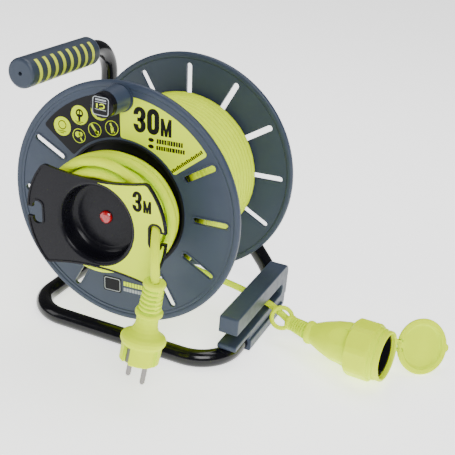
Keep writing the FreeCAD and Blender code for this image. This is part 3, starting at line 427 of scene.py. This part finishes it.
def rounded(cx, cz, half_w, half_h, corner):
    """Outline of a rectangle with round corners."""
    outline = []
    for sx, sz, first in ((1, 1, 0), (-1, 1, 90), (-1, -1, 180), (1, -1, 270)):
        for k in range(5):
            a = math.radians(first + 22.5 * k)
            outline.append((cx + sx * (half_w - corner) + corner * math.cos(a),
                            cz + sz * (half_h - corner) + corner * math.sin(a)))
    return outline


def block(x0, z0, x1, z1):
    """Upright rectangle."""
    return [(x0, z0), (x1, z0), (x1, z1), (x0, z1)]


def glyph_zero(wide, high, weight):
    rx = wide / 2 - weight / 2
    rz = rx * 1.15
    low, top = weight / 2 + rz, high - weight / 2 - rz
    path = arc(wide / 2, top, rx, rz, 0, 180) + arc(wide / 2, low, rx, rz, 180, 360)
    return stroke(path, weight, closed=True)


def bowed(cx, cz, rx, rz, weight, start, stop, steps=14):
    """Curved stroke between two ellipses, as a row of four-cornered plates."""
    inner_x, inner_z = rx - weight, rz - weight * 0.82
    pairs = []
    for i in range(steps + 1):
        a = math.radians(start + (stop - start) * i / steps)
        pairs.append(((cx + rx * math.cos(a), cz + rz * math.sin(a)),
                      (cx + inner_x * math.cos(a), cz + inner_z * math.sin(a))))
    return [[pairs[i][0], pairs[i + 1][0], pairs[i + 1][1], pairs[i][1]] for i in range(steps)]


def glyph_three(wide, high, weight):
    rx = wide / 2
    upper, lower = high * 0.285, high * 0.29
    plates = bowed(rx, high - upper, rx, upper, weight, 188, -80)
    plates += bowed(rx, lower, rx, lower, weight, 80, -188)
    plates.append(block(rx * 0.62, high * 0.43, rx * 1.25, high * 0.575))
    return plates


def glyph_m(wide, high, weight):
    inner = wide / 2
    left = [(weight * 0.9, high), (weight * 0.9, high * 0.52), (inner - weight * 0.42, 0), (inner, 0),
            (inner, high * 0.42)]
    right_side = [(wide - weight * 0.9, high), (inner, high * 0.42), (inner, 0), (inner + weight * 0.42, 0),
                  (wide - weight * 0.9, high * 0.52)]
    return [block(0, 0, weight, high), block(wide - weight, 0, wide, high), left, right_side]


def set_at(outlines, x, z, tilt):
    """Outlines turned and moved to their place on the label."""
    c, s = math.cos(math.radians(tilt)), math.sin(math.radians(tilt))
    return [[(x + a * c - b * s, z + a * s + b * c) for a, b in outline] for outline in outlines]


number = set_at(glyph_three(12.6, 24.0, 5.0), 8.2, 75.6, TILT)
number += set_at(glyph_zero(12.4, 24.0, 4.9), 22.0, 76.4, TILT)
number += set_at(glyph_m(10.8, 16.4, 3.1), 35.8, 77.2, TILT)
flat_mesh("length_mark", number, LABEL_Y, INK, print_black, "drum")
number = set_at(glyph_three(9.4, 19.2, 3.8), 37.6, 22.8, TILT)
number += set_at(glyph_m(7.8, 11.4, 2.4), 48.2, 23.8, TILT)
flat_mesh("tidy_mark", number, TIDY_Y, INK, print_black, "drum")

# Two rows of small plain marks beside two dots, and a slanted row, where the label has its small print.
rows = (
    (26.4, 71.6, 4.4, (2.0, 2.2, 2.1, 2.0, 1.0, 2.0, 2.1, 2.2, 2.0, 2.1, 1.9)),
    (26.6, 65.4, 3.9, (1.9, 2.0, 1.9, 2.0, 1.0, 1.9, 2.0, 2.9, 2.0, 1.9, 2.0, 2.0)))
row_x = 32.2                # where both rows start
row_rise = 0.056            # they climb with the label
small = []
for cx, cz, high, widths in rows:
    small.append([(cx + 2.9 * math.cos(t * 0.3142), cz + 1.9 * math.sin(t * 0.3142)) for t in range(20)])
    x = row_x
    for wide in widths:
        z = cz - high / 2 + (x - row_x) * row_rise
        end = x + wide * 0.95
        small.append([(x, z), (end, z + 0.05), (end - 0.2, z + high), (x - 0.2, z + high - 0.05)])
        x += wide + 0.45
slanted = [block(1.93 * k, 0, 1.93 * k + 1.45, 2.6 + 0.7 * (k % 3 == 1)) for k in range(20)]
small += set_at(slanted, 49.9, 44.9, 41.7)
flat_mesh("label_marks", small, LABEL_Y, INK, print_black, "drum")

# Thin border on the badge, and two rows of plain marks beside it.
edge = stroke(rounded(0, 0, 8.6, 6.6, 1.8), 0.7, closed=True)
flat_mesh("badge_border", set_at(edge, *BADGE_AT, TILT), LABEL_Y, INK, print_grey, "drum")
marks_beside = (("badge_marks", 1.2, 4.6, print_lime), ("badge_marks_low", -4.6, 3.6, print_grey))
for name, z, high, finish in marks_beside:
    marks = [block(12.6 + 3.1 * k, z, 15.1 + 3.1 * k, z + high) for k in range(9)]
    flat_mesh(name, set_at(marks, *BADGE_AT, TILT), FLANGE_Y, 0.06, finish, "drum")

# Round signs on the black label: three filled, three outlined.
filled = ((-67.6, 64.8), (-49.1, 79.4), (-27.6, 88.1))
discs = [disc(cx, cz, 9.3) for cx, cz in filled]
flat_mesh("label_discs", discs, LABEL_Y, INK, print_lime, "drum")
rings = []
for cx, cz in ((-49.1, 59.2), (-32.4, 68.7), (-14.5, 74.2)):
    rings += loop(cx, cz, 7.0, 0.6)
rings += [bar(-45.6, 54.4, -47.6, 57.8, 1.5), bar(-36.4, 73.4, -28.6, 64.4, 2.4)]
rings += [bar(-31.6, 66.4, -28.0, 66.8, 3.0), disc(-50.6, 60.4, 2.9, 16), disc(-47.4, 61.2, 2.2, 16)]
rings += [bar(-16.4, 78.6, -14.0, 74.4, 1.8), bar(-14.4, 75.0, -13.4, 69.6, 3.0)]
rings += [bar(-13.6, 70.4, -10.9, 70.6, 1.3)]
flat_mesh("label_rings", rings, LABEL_Y, INK, print_lime, "drum")
dark = loop(-67.6, 66.2, 4.4, 0.8) + loop(-49.1, 81.2, 4.0, 1.5, 24) + [bar(-49.1, 77.6, -49.1, 73.6, 2.2)]
dark += [bar(-51.6, 79.4, -46.6, 79.4, 1.4), bar(-49.1, 84.6, -49.1, 80.0, 1.2)]
dark += loop(-27.6, 89.6, 4.2, 0.9)
dash = 1.3                  # pitch of the dashes under the signs
for (cx, cz), drop, pitch in zip(filled, (4.6, 6.4, 4.6), (1.7, 1.4, 1.7)):
    for k, half in ((0, 4.6), (1, 3.0)):
        z = cz - drop - pitch * k
        starts = [cx - half + dash * j for j in range(int(half * 2 / dash))]
        dark += [bar(x + 0.2, z, x + 1.1, z, 0.9) for x in starts]
flat_mesh("label_signs", dark, LABEL_Y - 0.06, INK, print_black, "drum")

# Sign on the knob's cap: a dark square with a light border and a curved arrow.
kx, kz = CAP_AT
square = rounded(kx, kz, 7.8, 8.0, 2.6)
flat_mesh("knob_sign", [square], CAP_Y, INK, black_label, "knob")
border = stroke(square, 0.75, closed=True)
border += [bar(kx - 5.6, kz - 3.2, kx + 5.6, kz - 3.2, 0.6), bar(kx - 5.6, kz + 3.4, kx + 5.6, kz + 3.4, 0.6)]
border += [bar(kx - 5.4, kz + 5.6, kx + 5.4, kz + 5.6, 1.5)]
flat_mesh("knob_border", border, CAP_Y - 0.06, INK, print_grey, "knob")
arrow = bowed(kx + 1.2, kz + 0.1, 3.0, 2.4, 1.2, 150, -120, 10)
arrow += [[(kx + 1.0, kz - 3.6), (kx + 1.2, kz - 0.9), (kx - 1.6, kz - 1.9)]]
arrow += [bar(kx - 4.4, kz, kx - 3.0, kz, 3.8)]
flat_mesh("knob_arrow", arrow, CAP_Y - 0.06, INK, print_lime, "knob")


# ---- floor and light ----------------------------------------------------------------------------------
floor_mesh = bmesh.new()
bmesh.ops.create_grid(floor_mesh, x_segments=8, y_segments=8, size=6.0)
floor_data = bpy.data.meshes.new("floor")
floor_mesh.to_mesh(floor_data)
floor_mesh.free()
floor_finish = surface("floor_paper", (0.92, 0.92, 0.92, 1.0), 0.7, vary=0.01, rough_vary=0.02, spec=0.2)
glow = floor_finish.node_tree.nodes["Principled BSDF"]
glow.inputs["Emission Color"].default_value = (1, 1, 1, 1)
glow.inputs["Emission Strength"].default_value = 1.6
floor = linked("floor", floor_data, floor_finish)
floor.location = (0, 0, -0.0004)


def softbox(name, position, size, power, aim=(0.05, 0.0, 0.12), color=(1, 1, 1)):
    light = bpy.data.lights.new(name, "AREA")
    light.shape = "RECTANGLE"
    light.size, light.size_y = size
    light.energy = power
    light.color = color
    lamp = bpy.data.objects.new(name, light)
    bpy.context.scene.collection.objects.link(lamp)
    lamp.location = position
    lamp.rotation_euler = (Vector(aim) - Vector(position)).to_track_quat("-Z", "Y").to_euler()
    return lamp


softbox("key", (1.0, -1.25, 1.35), (1.0, 1.0), 30)
softbox("fill", (-1.3, -1.0, 0.9), (0.8, 0.9), 6)
softbox("top", (0.1, 0.5, 1.7), (1.4, 1.0), 22)
world = bpy.data.worlds.new("world")
bpy.context.scene.world = world
world.use_nodes = True
world.node_tree.nodes["Background"].inputs["Color"].default_value = (1, 1, 1, 1)
world.node_tree.nodes["Background"].inputs["Strength"].default_value = 0.15
